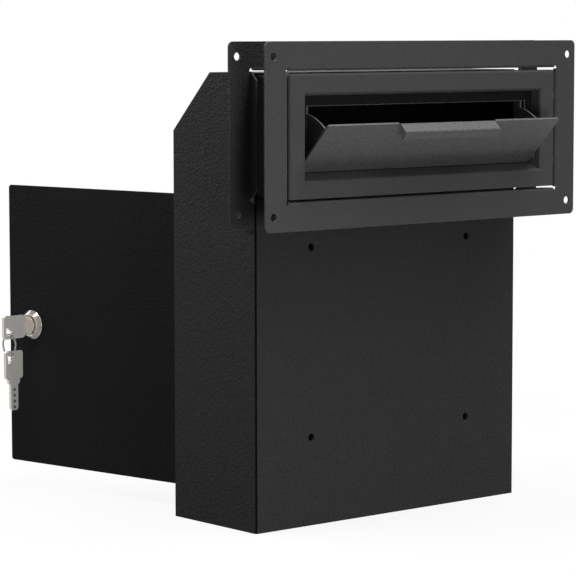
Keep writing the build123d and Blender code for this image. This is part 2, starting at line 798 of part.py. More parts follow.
# A shallow pan stiffens the door from inside, with a narrow rim welded to the panel.
rim_width = door_width - 2 * pan_inset
rim_height = door_height - 2 * pan_inset
wall_width = rim_width - 2 * pan_rim
wall_height = rim_height - 2 * pan_rim
with BuildPart() as door_pan:
    with Locations((door_centre, door_inside, 0)):
        Box(wall_width, pan_depth, wall_height, align=(Align.CENTER, Align.MAX, Align.CENTER))
    fillet(door_pan.edges().filter_by(Axis.Y), bend_outside)
    fillet(door_pan.faces().sort_by(Axis.Y)[0].edges(), bend_outside)
    offset(amount=-sheet, openings=door_pan.faces().sort_by(Axis.Y)[-1])
    with BuildSketch(flat(door_inside, 0)):
        with Locations((door_centre, 0)):
            RectangleRounded(rim_width, rim_height, bend_outside)
            RectangleRounded(
                wall_width - 2 * sheet, wall_height - 2 * sheet, bend_inside, mode=Mode.SUBTRACT
            )
    extrude(amount=sheet)
    with BuildSketch(flat(door_inside, 0)):
        with Locations((lock_t, 0)):
            Circle(pan_access)
    extrude(amount=pan_depth, mode=Mode.SUBTRACT)
export_piece(door_pan, "door_pan", door_place)


def hinge_leaf(first):
    """A leaf with every second knuckle. X runs from the pin, Y out of the sheet below, Z along the pin."""
    knuckle_pitch = (hinge_length + knuckle_gap) / knuckle_count
    knuckle = knuckle_pitch - knuckle_gap
    on_sheet = (Align.MIN, Align.MIN, Align.CENTER)
    with BuildPart() as piece:
        with Locations((leaf_start, -knuckle_radius, 0)):
            Box(leaf_width - leaf_start, leaf_thickness, hinge_length, align=on_sheet)
        for index in range(first, knuckle_count, 2):
            middle = index * knuckle_pitch + knuckle / 2 - hinge_length / 2
            with Locations((0, 0, middle)):
                Cylinder(knuckle_radius, knuckle)
            with Locations((0, -knuckle_radius, middle)):
                Box(leaf_start, leaf_thickness, knuckle, align=on_sheet)
        Cylinder(hinge_pin_radius + hinge_pin_play, hinge_length, mode=Mode.SUBTRACT)
        with Locations(flat(-knuckle_radius, 0)):
            with Locations(*rivet_spots):
                Hole(rivet_hole, depth=leaf_thickness)
    return piece


def rivet_row(grip):
    """The rivets of one leaf in the leaf's frame: domed heads on the leaf, formed tails under the grip."""
    dome_radius = (rivet_head_radius**2 + rivet_head**2) / (2 * rivet_head)
    dome_angle = asin(rivet_head_radius / dome_radius) / 2
    dome_mid = (dome_radius * sin(dome_angle), rivet_head - dome_radius * (1 - cos(dome_angle)))
    with BuildPart() as fastener:
        with BuildSketch(Plane.XZ):
            with BuildLine():
                Polyline(
                    (0, rivet_head),
                    (0, -grip - rivet_tail),
                    (rivet_tail_radius, -grip - rivet_tail),
                    (rivet_tail_radius, -grip),
                    (rivet_radius, -grip),
                    (rivet_radius, 0),
                    (rivet_head_radius, 0),
                )
                ThreePointArc((rivet_head_radius, 0), dome_mid, (0, rivet_head))
            make_face()
        revolve(axis=Axis.Z)
    with BuildPart() as row:
        for x, z in rivet_spots:
            with Locations(Plane(origin=(x, leaf_thickness - knuckle_radius, z), z_dir=(0, 1, 0))):
                add(fastener.part)
    return row


export_piece(hinge_leaf(0), "hinge_leaf_frame", frame_leaf_place)
export_piece(hinge_leaf(1), "hinge_leaf_door", door_place)
export_piece(rivet_row(leaf_thickness + 2 * sheet), "frame_rivets", frame_leaf_place)
export_piece(rivet_row(leaf_thickness + sheet), "door_rivets", door_place)

with BuildPart() as hinge_pin:
    Cylinder(hinge_pin_radius, hinge_length)
    with Locations((0, 0, -(hinge_length + pin_head) / 2), (0, 0, (hinge_length + pin_head) / 2)):
        Cylinder(pin_head_radius, pin_head)
export_piece(hinge_pin, "hinge_pin", frame_leaf_place)

# ---------------------------------------------------------------- lock, Z out of the door, X up
with BuildPart() as lock_body:
    with BuildSketch(Plane.XZ):
        with BuildLine():
            Polyline(
                (plug_radius + plug_play, -lock_body_depth),
                (lock_body_radius, -lock_body_depth),
                (lock_body_radius, 0),
                (lock_rim_radius, 0),
                (lock_rim_radius, lock_rim),
                (lock_face_radius, lock_rise),
                (plug_radius + plug_play, lock_rise),
                close=True,
            )
        make_face()
    revolve(axis=Axis.Z)
    for side in (-1, 1):
        with Locations((0, side * (lock_flats + lock_rim_radius) / 2, 0)):
            Box(
                2 * lock_rim_radius,
                lock_rim_radius,
                lock_body_depth,
                align=(Align.CENTER, Align.CENTER, Align.MAX),
                mode=Mode.SUBTRACT,
            )
export_piece(lock_body, "lock_body", lock_place)

with BuildPart() as lock_washer:
    with BuildSketch(Plane.XY.offset(-sheet)):
        Circle(washer_radius)
        Circle(lock_body_radius + lock_hole_play, mode=Mode.SUBTRACT)
    extrude(amount=-washer_thickness)
export_piece(lock_washer, "lock_washer", lock_place)

with BuildPart() as lock_nut:
    with BuildSketch(Plane.XY.offset(-sheet - washer_thickness)):
        Circle(nut_radius)
        Circle(lock_body_radius + nut_thread_gap, mode=Mode.SUBTRACT)
        with PolarLocations(nut_radius, nut_slot_count):
            Rectangle(nut_slot, nut_slot, mode=Mode.SUBTRACT)
    extrude(amount=-nut_thickness)
export_piece(lock_nut, "lock_nut", lock_place)

blade_depth = blade_length + blade_play
with BuildPart() as lock_plug:
    with Locations((0, 0, plug_front)):
        Cylinder(plug_radius, plug_front + plug_end, align=(Align.CENTER, Align.CENTER, Align.MAX))
        Box(
            blade_width + 2 * blade_play,
            key_thickness + 2 * blade_play,
            blade_depth + blade_play,
            align=(Align.CENTER, Align.CENTER, Align.MAX),
            mode=Mode.SUBTRACT,
        )
    with Locations((0, 0, -plug_end)):
        Box(tail_square, tail_square, tail_end - plug_end, align=(Align.CENTER, Align.CENTER, Align.MAX))
    with Locations((0, 0, -tail_end)):
        Cylinder(
            screw_radius + screw_play,
            screw_grip,
            align=(Align.CENTER, Align.CENTER, Align.MIN),
            mode=Mode.SUBTRACT,
        )
export_piece(lock_plug, "lock_plug", lock_place)

with BuildPart() as lock_cam:
    with BuildSketch(Plane.XY.offset(-plug_end)):
        Rectangle(cam_length, cam_width, align=(Align.MAX, Align.CENTER))
        Circle(cam_width / 2)
        Rectangle(tail_square + 2 * cam_play, tail_square + 2 * cam_play, mode=Mode.SUBTRACT)
    extrude(amount=-cam_thickness)
    fillet(lock_cam.edges().filter_by(Axis.Z).sort_by(Axis.X)[:2], cam_corner)
export_piece(lock_cam, "lock_cam", lock_place)

with BuildPart() as cam_screw:
    with Locations((0, 0, -cam_back)):
        Cylinder(screw_head_radius, screw_head, align=(Align.CENTER, Align.CENTER, Align.MAX))
        Cylinder(screw_radius, screw_grip, align=(Align.CENTER, Align.CENTER, Align.MIN))
    with Locations((0, 0, -cam_back - screw_head)):
        Box(
            2 * screw_head_radius,
            screw_slot,
            screw_slot,
            align=(Align.CENTER, Align.CENTER, Align.MIN),
            mode=Mode.SUBTRACT,
        )
export_piece(cam_screw, "cam_screw", lock_place)


# ---------------------------------------------------------------- keys
def key():
    """A dimple key in the XZ plane: blade down, its shoulder ends on the X axis, bow above."""
    bow_top = shoulder_length + bow_length
    hole_top = bow_top - key_hole_edge
    right_side = [
        (blade_width / 2 - blade_tip, -blade_length),
        (blade_width / 2, blade_tip - blade_length),
        (blade_width / 2, 0),
        (shoulder_width / 2, shoulder_taper),
        (shoulder_width / 2, shoulder_length),
        (bow_width / 2, shoulder_length),
        (bow_width / 2, bow_top),
    ]
    left_side = [(-x, z) for x, z in reversed(right_side)]
    with BuildPart() as piece:
        with BuildSketch(Plane.XZ):
            with BuildLine():
                Polyline(*right_side, *left_side, close=True)
            make_face()
        extrude(amount=key_thickness / 2, both=True)
        uprights = piece.edges().filter_by(Axis.Y).sort_by(Axis.X)
        fillet(uprights[:2] + uprights[-2:], bow_corner)
        with BuildSketch(Plane.XZ) as hole:
            with BuildLine():
                Polyline(
                    (-key_hole_left, hole_top),
                    (key_hole_right, hole_top),
                    (-key_hole_point, hole_top - key_hole_length),
                    close=True,
                )
            make_face()
            fillet(hole.vertices(), key_hole_round)
        extrude(amount=key_thickness, both=True, mode=Mode.SUBTRACT)
        for index in range(pit_count):
            level = blade_tip + pit_from_tip + index * pit_pitch - blade_length
            for side in (-1, 1):
                with Locations((0, side * key_thickness / 2, level)):
                    Cylinder(pit_radius, 2 * pit_depth, rotation=(90, 0, 0), mode=Mode.SUBTRACT)
    return piece


key_base = plug_front + blade_play
export_piece(key(), "key_in_lock", lock_place.offset(key_base))

# The ring hangs in the slot of the key in the lock, and the spare key hangs from it.
ring_slot_out = key_base + shoulder_length + bow_length - ring_from_end
ring_skew = radians(ring_turn)
ring_across = door_along * cos(ring_skew) - door_out * sin(ring_skew)
ring_centre = lock_centre + door_out * ring_slot_out - up * (ring_drop + ring_radius)
with BuildPart() as key_ring:
    Torus(ring_radius, ring_wire)
export_piece(key_ring, "key_ring", Plane(origin=ring_centre, x_dir=up, z_dir=up.cross(ring_across)))

hang_height = shoulder_length + bow_length - key_hole_edge - ring_wire - ring_play
spare_base = ring_centre - up * (ring_radius + hang_height) - door_out * hang_offset
export_piece(key(), "spare_key", Plane(origin=spare_base, x_dir=-door_out, z_dir=up))
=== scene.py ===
# %% [markdown]
# # A through-the-door key drop box
#
# The object is a box of folded steel sheet with a black powder coat. A chute with a hinged scoop slides
# into its front, two flanges clamp a door between them, and a rear door with a cam lock lets the keys
# out. The CAD model gives every size and joint, so this lesson is about surfaces: soft sheet edges, a
# grainy coat, plated lock parts and keys, and the light that shows them.

# %% Load the frame
import json
import math

import bpy
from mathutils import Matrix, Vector

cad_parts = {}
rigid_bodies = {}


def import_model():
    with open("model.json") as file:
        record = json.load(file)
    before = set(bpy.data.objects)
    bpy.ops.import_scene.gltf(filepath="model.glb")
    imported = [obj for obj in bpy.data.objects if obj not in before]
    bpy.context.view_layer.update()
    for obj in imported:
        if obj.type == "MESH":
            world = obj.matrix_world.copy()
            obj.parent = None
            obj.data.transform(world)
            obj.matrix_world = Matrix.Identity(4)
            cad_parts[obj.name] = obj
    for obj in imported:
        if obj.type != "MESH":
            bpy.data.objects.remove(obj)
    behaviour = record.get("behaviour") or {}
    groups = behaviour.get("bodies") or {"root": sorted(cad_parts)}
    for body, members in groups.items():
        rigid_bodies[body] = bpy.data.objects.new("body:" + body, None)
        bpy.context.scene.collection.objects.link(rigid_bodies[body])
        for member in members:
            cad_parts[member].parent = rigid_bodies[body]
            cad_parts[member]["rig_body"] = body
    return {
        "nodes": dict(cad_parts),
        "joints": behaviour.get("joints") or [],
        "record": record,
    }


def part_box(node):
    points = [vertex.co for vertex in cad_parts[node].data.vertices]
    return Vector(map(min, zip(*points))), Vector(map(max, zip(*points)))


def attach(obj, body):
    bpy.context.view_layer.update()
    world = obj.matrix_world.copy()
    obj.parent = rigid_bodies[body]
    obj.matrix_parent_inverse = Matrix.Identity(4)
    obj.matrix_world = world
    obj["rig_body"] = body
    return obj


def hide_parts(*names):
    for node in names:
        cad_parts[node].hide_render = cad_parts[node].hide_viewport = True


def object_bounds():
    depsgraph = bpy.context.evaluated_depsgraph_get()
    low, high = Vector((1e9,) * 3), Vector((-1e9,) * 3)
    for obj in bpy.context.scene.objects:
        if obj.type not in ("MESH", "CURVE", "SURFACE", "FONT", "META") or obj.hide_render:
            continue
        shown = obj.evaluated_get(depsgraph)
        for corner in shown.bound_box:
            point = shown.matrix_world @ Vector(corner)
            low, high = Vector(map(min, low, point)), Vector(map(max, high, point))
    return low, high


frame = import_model()
nodes = frame["nodes"]
cad_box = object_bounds()
MM = 0.001
print("CAD box in metres:", [tuple(round(v, 4) for v in corner) for corner in cad_box])

# %% [markdown]
# ## The camera
#
# The camera stands to the left of the box's front, a little above its top, and looks slightly down. A
# long lens from about two metres keeps the sheet's edges nearly parallel, as in a catalogue picture.

# %% Camera
SENSOR = 36.0  # millimetres, like the lens
LENS = 162.504
CAMERA_PLACE = (-1.27092, -1.42883, 0.349995)
CAMERA_YAW = 0.703801  # radians, from straight into the room towards its right
CAMERA_PITCH = 0.0981623  # radians, below the horizon
CAMERA_ROLL = 0.00153
bpy.ops.object.camera_add(
    location=CAMERA_PLACE, rotation=(math.pi / 2 - CAMERA_PITCH, CAMERA_ROLL, -CAMERA_YAW)
)
camera = bpy.context.object
camera.data.sensor_width = SENSOR
camera.data.lens = LENS
bpy.context.scene.camera = camera
print("Camera is", round(Vector(CAMERA_PLACE).length, 2), "m from the middle of the base")

# %% [markdown]
# ## Helpers for materials
#
# Colours are written as the hex numbers that a paint program shows, so one function turns them into the
# linear values that the renderer uses, by the curve of the sRGB standard. Another adds a node, sets its
# values and joins its inputs.


# %% Colour and node helpers
def linear(hex_colour):
    """An sRGB colour such as "#2c2c2e" as linear red, green, blue and alpha."""
    values = [int(hex_colour[i : i + 2], 16) / 255 for i in (1, 3, 5)]
    return [v / 12.92 if v <= 0.04045 else ((v + 0.055) / 1.055) ** 2.4 for v in values] + [1.0]


def add_node(owner, kind, settings=None, inputs=None):
    """Add a node to a material or world, set its properties, and give each input a value or a link."""
    node = owner.node_tree.nodes.new(kind)
    for name, value in (settings or {}).items():
        setattr(node, name, value)
    for name, value in (inputs or {}).items():
        if isinstance(value, bpy.types.NodeSocket):
            owner.node_tree.links.new(value, node.inputs[name])
        else:
            node.inputs[name].default_value = value
    return node


def new_surface(name, **values):
    """A new material and its surface shader, with uniform values set on the shader's own sockets."""
    material = bpy.data.materials.new(name)
    material.use_nodes = True
    shader = material.node_tree.nodes["Principled BSDF"]
    for socket, value in values.items():
        shader.inputs[socket.replace("_", " ")].default_value = value
    return material, shader


def two_tones(material, pattern, tones, levels):
    """A colour that goes from one hex tone to another as the pattern rises between two levels."""
    ramp = add_node(material, "ShaderNodeValToRGB", inputs={"Fac": pattern})
    for stop, tone, level in zip(ramp.color_ramp.elements, tones, levels):
        stop.position = level
        stop.color = linear(tone)
    return ramp.outputs["Color"]


print("#808080 is", round(linear("#808080")[0], 3), "in linear light")

# %% [markdown]
# ## Black powder coat
#
# Powder coat is a polyester dust baked on the steel. It flows into a skin about 0.1 mm thick that is not
# quite smooth: a fine grain of half-melted dust sits on a slow orange peel. That gives the eye a soft
# dark grey with small light and dark specks where light comes from the side, and almost none where it
# comes from the front. The real grain is about 0.5 mm. It is drawn at 1.6 mm, because one pixel is 0.8 mm
# wide at this distance.
#
# The chute, the scoop, the case and the door each have their own tone and grain. The chute and scoop are
# toned paler as painted light, and the door, the inside of the chute and the folds are toned darker as
# painted shade; the inside of the chute and the folds are also smoother.
# One function makes them all from two greys, a roughness, a gloss and the height of the grain.

# %% Powder coat
COAT_GRAIN = 1.6 * MM
COAT_PEEL = 7.0 * MM
PEEL_SHARE = 0.3  # height of the peel, beside the grain's
GRAIN_DETAIL = 2.5
GRAIN_ROUGHNESS = 0.6
GRAIN_LEVELS = (0.3, 0.72)  # the noise levels where the darker and the paler grey are reached


def powder_coat(name, low, high, roughness, gloss, relief):
    """A fine-textured coat: two greys mixed by the grain, and a bump of the grain on the orange peel."""
    material, shader = new_surface(name, Roughness=roughness, Specular_IOR_Level=gloss)
    place = add_node(material, "ShaderNodeTexCoord").outputs["Object"]
    grain = add_node(
        material,
        "ShaderNodeTexNoise",
        inputs={
            "Vector": place,
            "Scale": 1 / COAT_GRAIN,
            "Detail": GRAIN_DETAIL,
            "Roughness": GRAIN_ROUGHNESS,
        },
    )
    peel = add_node(
        material, "ShaderNodeTexNoise", inputs={"Vector": place, "Scale": 1 / COAT_PEEL, "Detail": 1.0}
    )
    colour = two_tones(material, grain.outputs["Fac"], (low, high), GRAIN_LEVELS)
    height = add_node(
        material,
        "ShaderNodeMath",
        {"operation": "MULTIPLY_ADD"},
        {0: peel.outputs["Fac"], 1: PEEL_SHARE, 2: grain.outputs["Fac"]},
    )
    bump = add_node(
        material,
        "ShaderNodeBump",
        inputs={"Strength": 1.0, "Distance": relief, "Height": height.outputs["Value"]},
    )
    material.node_tree.links.new(colour, shader.inputs["Base Color"])
    material.node_tree.links.new(bump.outputs["Normal"], shader.inputs["Normal"])
    return material


# Case: powder sprayed thick on the large flat sheets. A dark grey with the strongest grain.
case_coat = powder_coat("powder_coat_case", "#3b3b3c", "#454546", 0.55, 0.03, 0.8 * MM)
# Rear door: the same powder, toned darker than the case as painted shade for the box's shade on it. The
# darkest of the outer sheets, with a weaker grain.
door_painted_shade_coat = powder_coat("powder_coat_door", "#242425", "#2d2d2e", 0.55, 0.03, 0.6 * MM)
# Front flange and bezel: the same powder, toned paler than the case as painted light for the light on the
# flange that stands out in front. An even middle grey, almost no grain.
chute_painted_light_coat = powder_coat("powder_coat_chute", "#4d4d4d", "#585858", 0.5, 0.05, 0.04 * MM)
# Scoop: a coat with some gloss, toned the palest as painted light on its up-facing panel and lip. It
# glitters where the light grazes it.
scoop_painted_light_coat = powder_coat("powder_coat_scoop", "#494949", "#656565", 0.4, 0.25, 0.12 * MM)
# Inside of the chute: toned as painted shade between the flanges and in the recess. Nearly black and flat.
inner_painted_shade_coat = powder_coat("powder_coat_inner", "#1b1b1c", "#262627", 0.55, 0.03, 0.05 * MM)
# Outside of a sharp fold: a thin smooth skin, toned nearly black as painted shade, so it reads as a dark
# line.
fold_painted_shade_coat = powder_coat("powder_coat_fold", "#131314", "#1c1c1d", 0.6, 0.0, 0.03 * MM)
# Blanking caps: small discs coated in bulk. Matt black as painted shade, so the holes that they close read
# as dark dots, like open holes into the dark box.
cap_painted_shade_coat = powder_coat("powder_coat_caps", "#0b0b0b", "#121212", 0.6, 0.0, 0.03 * MM)
# Cut edges: a glossier coat, toned pale as a painted highlight. A pale line round each sheet.
edge_highlight_coat = powder_coat("powder_coat_edge", "#6a6a6a", "#848484", 0.35, 0.3, 0.03 * MM)
print("Coat grain", round(COAT_GRAIN / MM, 2), "mm on a peel of", round(COAT_PEEL / MM, 2), "mm")

# %% [markdown]
# ## Plated and plain metals
#
# The lock is a zinc casting under bright nickel, which mirrors its surroundings with a faint warm tint,
# round a plug of turned brass. The keys are stamped from nickel silver sheet, and their brushed faces
# scatter the light so widely that they look flat light grey, so only part of that finish is metallic.
# Hinge, rod, rivets and cam are steel with a dull zinc plate.
#
# One function makes every metal: marks of one size, from polishing, brushing or plating, change both its
# colour and its roughness. Brush marks are finer than 0.1 mm, so they are drawn about 1 mm wide to show
# in the picture, while the blotches of zinc and nickel plate keep their real 2 to 6 mm.


# %% Metals
MARK_DETAIL = 3.0
MARK_ROUGHNESS = 0.6
MARK_LEVELS = (0.3, 0.7)  # the noise levels where the darker and the paler tone are reached
ROUGHNESS_SPREAD = 0.25  # how far the marks raise or lower the roughness


def metal(name, low, high, metallic, roughness, mark, stretch):
    """A metal whose colour and roughness follow marks of one size, stretched along the brushing."""
    material, shader = new_surface(name, Metallic=metallic)
    place = add_node(material, "ShaderNodeTexCoord").outputs["Object"]
    along = add_node(material, "ShaderNodeMapping", inputs={"Vector": place, "Scale": stretch})
    marks = add_node(
        material,
        "ShaderNodeTexNoise",
        inputs={
            "Vector": along.outputs["Vector"],
            "Scale": 1 / mark,
            "Detail": MARK_DETAIL,
            "Roughness": MARK_ROUGHNESS,
        },
    )
    colour = two_tones(material, marks.outputs["Fac"], (low, high), MARK_LEVELS)
    rough = add_node(
        material,
        "ShaderNodeMapRange",
        inputs={
            "Value": marks.outputs["Fac"],
            "To Min": (1 - ROUGHNESS_SPREAD) * roughness,
            "To Max": (1 + ROUGHNESS_SPREAD) * roughness,
        },
    )
    material.node_tree.links.new(colour, shader.inputs["Base Color"])
    material.node_tree.links.new(rough.outputs["Result"], shader.inputs["Roughness"])
    return material


NO_STRETCH = (1.0, 1.0, 1.0)
ALONG_BLADE = (1.0, 1.0, 0.12)  # draws the marks out upright, along the hanging key's blade
# Lock body: bright nickel plate on a polished zinc casting. It mirrors the room, slightly warm.
nickel = metal("nickel_plate_bright", "#7e7a74", "#9d9992", 1.0, 0.2, 6.0 * MM, NO_STRETCH)
# Lock plug: thin nickel on turned brass, scuffed by keys. A pale cream face that hardly mirrors.
plug_brass = metal("nickel_on_brass", "#d2c8b4", "#efe7d8", 0.3, 0.35, 1.2 * MM, NO_STRETCH)
# Edges of the lock: the same plate, polished by hands. The palest and sharpest glints.
worn_nickel = metal("nickel_plate_edge", "#d8d5cf", "#eeebe6", 1.0, 0.12, 1.4 * MM, NO_STRETCH)
# Faces of the keys: brushed nickel silver. A flat light grey with a soft sheen.
key_satin = metal("nickel_silver_satin", "#c9c5c1", "#d8d4cf", 0.15, 0.45, 0.9 * MM, ALONG_BLADE)
# Cut sides of the keys: blanked, milled and tumbled nickel silver. A bright mirror line.
key_edge = metal("nickel_silver_cut_edge", "#b2afaa", "#d2cfca", 1.0, 0.15, 0.9 * MM, NO_STRETCH)
# Dimples of the keys: drilled, and toned dark as painted shade in the pits. Small dark, half glossy dots.
pit_painted_shade = metal("oil_in_key_pits", "#2c2a27", "#4a4743", 0.6, 0.4, 0.6 * MM, NO_STRETCH)
# Split ring: rolled spring steel wire, nickel plated. Glossy, with dark and pale glints along the turns.
ring_wire_steel = metal("ring_wire_nickel_plated", "#6e6c69", "#a6a39e", 1.0, 0.2, 1.2 * MM, NO_STRETCH)
# Hinge, rod, rivets and cam: steel with a barrel-plated zinc skin. Duller, bluer and blotchy.
zinc = metal("zinc_plate_dull", "#77787a", "#94959a", 1.0, 0.42, 2.5 * MM, NO_STRETCH)
METALS = (nickel, plug_brass, worn_nickel, key_satin, key_edge, pit_painted_shade, ring_wire_steel, zinc)
print("Metals:", [finish.name for finish in METALS])

# %% [markdown]
# ## Soft edges on every part
#
# Cut steel under a powder coat never ends in a knife edge: the coat pulls back and runs round it with a
# radius of about a third of a millimetre, and that catches the light as a thin pale line along the edge.
# A bevel modifier on a copy of each CAD part gives that radius, and its own slot for the bevel's faces
# lets the edge be paler than the flat; on the coated sheets that paler tone is a painted highlight. The
# weighted normals keep the large faces flat in the light.


# %% Helpers for modifiers
def select_only(piece):
    """Select one object and make it active."""
    bpy.ops.object.select_all(action="DESELECT")
    piece.select_set(True)
    bpy.context.view_layer.objects.active = piece


def apply_modifier(piece, kind, **settings):
    """Add a modifier, set it and apply it."""
    select_only(piece)
    modifier = piece.modifiers.new(kind.title(), kind)
    for name, value in settings.items():
        setattr(modifier, name, value)
    bpy.ops.object.modifier_apply(modifier=modifier.name)


# %% Rounded copies of the CAD parts
SHARP = math.radians(35)  # an edge sharper than this is rounded
SMOOTH = math.radians(50)  # the steps of a rounded edge are shaded as one curve
EDGE_STEPS = 2
WELD_DISTANCE = 0.001 * MM  # a CAD part comes as loose triangles, whose corners are joined first
FLAT_WITHIN = math.radians(0.5)  # triangles that lie this flat to each other become one face
MAIN_SLOT, EDGE_SLOT, THIRD_SLOT = 0, 1, 2  # a piece's finishes: faces, edges, and one for a few faces


def round_edges(piece, radius, edge_slot):
    """Round the sharp edges, give them a finish of their own, and keep large faces flat in the light."""
    apply_modifier(
        piece,
        "BEVEL",
        width=radius,
        segments=EDGE_STEPS,
        limit_method="ANGLE",
        angle_limit=SHARP,
        material=edge_slot,
    )
    bpy.ops.object.shade_smooth_by_angle(angle=SMOOTH)
    apply_modifier(piece, "WEIGHTED_NORMAL", keep_sharp=True)


def rounded_copy(node, finish, edge_finish, radius):
    """A copy of a CAD part with its edges rounded, which stands for it."""
    original = nodes[node]
    piece = original.copy()
    piece.data = original.data.copy()
    piece.name = node + "_finished"
    bpy.context.scene.collection.objects.link(piece)
    piece.data.materials.clear()
    for material in (finish, edge_finish):
        piece.data.materials.append(material)
    select_only(piece)
    bpy.ops.object.mode_set(mode="EDIT")
    bpy.ops.mesh.select_all(action="SELECT")
    bpy.ops.mesh.remove_doubles(threshold=WELD_DISTANCE)
    bpy.ops.mesh.dissolve_limited(angle_limit=FLAT_WITHIN)
    bpy.ops.object.mode_set(mode="OBJECT")
    round_edges(piece, radius, EDGE_SLOT)
    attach(piece, original["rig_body"])
    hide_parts(node)
    return piece


# %% Coated sheets
SHEET_EDGE = 0.35 * MM
SHEETS = [
    (case_coat, "case_wrap top_panel bottom_panel rear_frame door_stop cam_keeper rear_flange"),
    (chute_painted_light_coat, "front_flange chute_bezel"),
    (inner_painted_shade_coat, "chute_sleeve stop_frame chute_floor"),
    (scoop_painted_light_coat, "scoop_panel scoop_cheek_left scoop_cheek_right"),
    (door_painted_shade_coat, "door_panel door_pan"),
]
for finish, names in SHEETS:
    for name in names.split():
        sheet = rounded_copy(name, finish, edge_highlight_coat, SHEET_EDGE)
        print(sheet.name, len(sheet.data.polygons), "faces")

# %% [markdown]
# The wrap's two upright folds are toned darker than the flats as painted shade, so they read as dark lines
# between the front and the sides. A finish can be given to single faces, so no mesh is added: the folds
# are the front faces whose normals lie well between straight ahead and sideways.

# %% Painted shade on the folds of the wrap
FOLD_SHARE = 0.45  # a fold's normals have at least this much of both directions
wrap = bpy.data.objects["case_wrap_finished"]
wrap.data.materials.append(fold_painted_shade_coat)
painted_shade_fold_faces = [
    face
    for face in wrap.data.polygons
    if min(abs(face.normal.x), abs(face.normal.y)) > FOLD_SHARE and face.center.y < 0
]
for face in painted_shade_fold_faces:
    face.material_index = THIRD_SLOT
print(len(painted_shade_fold_faces), "faces on the two folds")

# %% [markdown]
# ## Lock, keys and hinge
#
# Small metal parts are tumbled or turned before they are plated, so their edges are softened too, but
# less than a coated sheet's. The same function finishes them, each with a brighter metal on its edges,
# except for the zinc plated ones, which look alike all over.

# %% Metal parts
SMALL_EDGE = 0.15 * MM
KEY_EDGE = 0.3 * MM  # keys are tumbled, so their edges are rounder and brighter
METAL_PARTS = [
    (nickel, worn_nickel, "lock_metal", SMALL_EDGE, "lock_body lock_nut lock_washer"),
    (plug_brass, worn_nickel, "lock_metal", SMALL_EDGE, "lock_plug"),
    (key_satin, key_edge, "key_metal", KEY_EDGE, "key_in_lock spare_key"),
    (zinc, zinc, "steel", SMALL_EDGE, "hinge_leaf_frame hinge_leaf_door frame_rivets door_rivets"),
    (zinc, zinc, "steel", SMALL_EDGE, "hinge_pin pivot_rod rod_clips pivot_bushes lock_cam cam_screw"),
]
for finish, edge_finish, slot, radius, names in METAL_PARTS:
    for name in names.split():
        part = rounded_copy(name, finish, edge_finish, radius)
        print(part.name, len(part.data.polygons), "faces")

# %% [markdown]
# A key is stamped from sheet: its flat faces are brushed, while its cut sides are bright and its dimple
# cuts are toned dark as painted shade. All three are told apart by where a face looks and how deep it
# lies. The largest face shows which way the key's flat looks, so this works however the key is turned.

# %% Cut sides and dimples of the keys
SIDE_SHARE = 0.5  # a cut side looks along the flat's normal less than this
FLAT_SHARE = 0.9  # and a pit's floor more than this
PIT_DEPTH_SHARE = 0.85  # a pit's floor lies within this share of the half thickness
for name in ("key_in_lock_finished", "spare_key_finished"):
    key = bpy.data.objects[name]
    key.data.materials.append(pit_painted_shade)
    flat = max(key.data.polygons, key=lambda face: face.area).normal.copy()
    levels = [vertex.co.dot(flat) for vertex in key.data.vertices]
    middle, half = (max(levels) + min(levels)) / 2, (max(levels) - min(levels)) / 2
    sides = pits = 0
    for face in key.data.polygons:
        turned = abs(face.normal.dot(flat))
        if turned < SIDE_SHARE:
            face.material_index = EDGE_SLOT
            sides += 1
        elif turned > FLAT_SHARE and abs(face.center.dot(flat) - middle) < PIT_DEPTH_SHARE * half:
            face.material_index = THIRD_SLOT
            pits += 1
    print(name, sides, "side faces,", pits, "pit floors")

# %% [markdown]
# ## The split ring
#
# A key ring is flat spring wire wound twice, so that a key can be worked on between the turns. The Screw
# modifier turns one flattened wire section about the ring's axis while it moves along it, which winds
# both turns at once. The ends are closed, and both turns together stay inside the round wire of the CAD
# ring, which they replace, so the keys clear them at every angle.

# %% Split ring
RING_TURNS = 2
RING_STEPS = 64
WIRE_SIDES = 16
CAD_WIRE = 0.95 * MM  # radius of the round wire that the turns stay inside
WIRE_RADIAL = 0.8 * MM  # half the width of the flattened wire, away from the ring's centre
WIRE_AXIAL = 0.22 * MM  # and half its thickness, along the ring's axis
RING_PITCH = 0.45 * MM
ring_low, ring_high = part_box("key_ring")
ring_centre = (ring_low + ring_high) / 2
wire_line = (ring_high.z - ring_low.z) / 2 - CAD_WIRE
swing = next(joint for joint in frame["joints"] if joint["name"] == "ring_swing")
ring_axis = Vector((0, 0, 1)).cross(Vector(swing["axis"]))  # it hangs upright below its swing's axis
bpy.ops.mesh.primitive_circle_add(
    vertices=WIRE_SIDES,
    radius=WIRE_RADIAL,
    location=(wire_line, 0, -RING_PITCH * RING_TURNS / 2),
    rotation=(math.pi / 2, 0, 0),
)
ring = bpy.context.object
ring.name = "split_ring"
ring.scale = (1, WIRE_AXIAL / WIRE_RADIAL, 1)
bpy.ops.object.transform_apply(location=True, rotation=True, scale=True)
apply_modifier(
    ring,
    "SCREW",
    axis="Z",
    iterations=RING_TURNS,
    screw_offset=RING_PITCH,
    steps=RING_STEPS,
    render_steps=RING_STEPS,
)
bpy.ops.object.mode_set(mode="EDIT")
bpy.ops.mesh.select_all(action="SELECT")
bpy.ops.mesh.remove_doubles(threshold=WELD_DISTANCE)
bpy.ops.mesh.fill_holes(sides=WIRE_SIDES)
bpy.ops.mesh.normals_make_consistent(inside=False)
bpy.ops.object.mode_set(mode="OBJECT")
ring.rotation_euler = ring_axis.to_track_quat("Z", "Y").to_euler()
ring.location = ring_centre
bpy.ops.object.transform_apply(location=True, rotation=True)
bpy.ops.object.shade_smooth_by_angle(angle=SMOOTH)
ring.data.materials.append(ring_wire_steel)
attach(ring, "key_ring")
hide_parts("key_ring")
print("Ring", round(2 * (wire_line + WIRE_RADIAL) / MM, 2), "mm across,", len(ring.data.polygons), "faces")
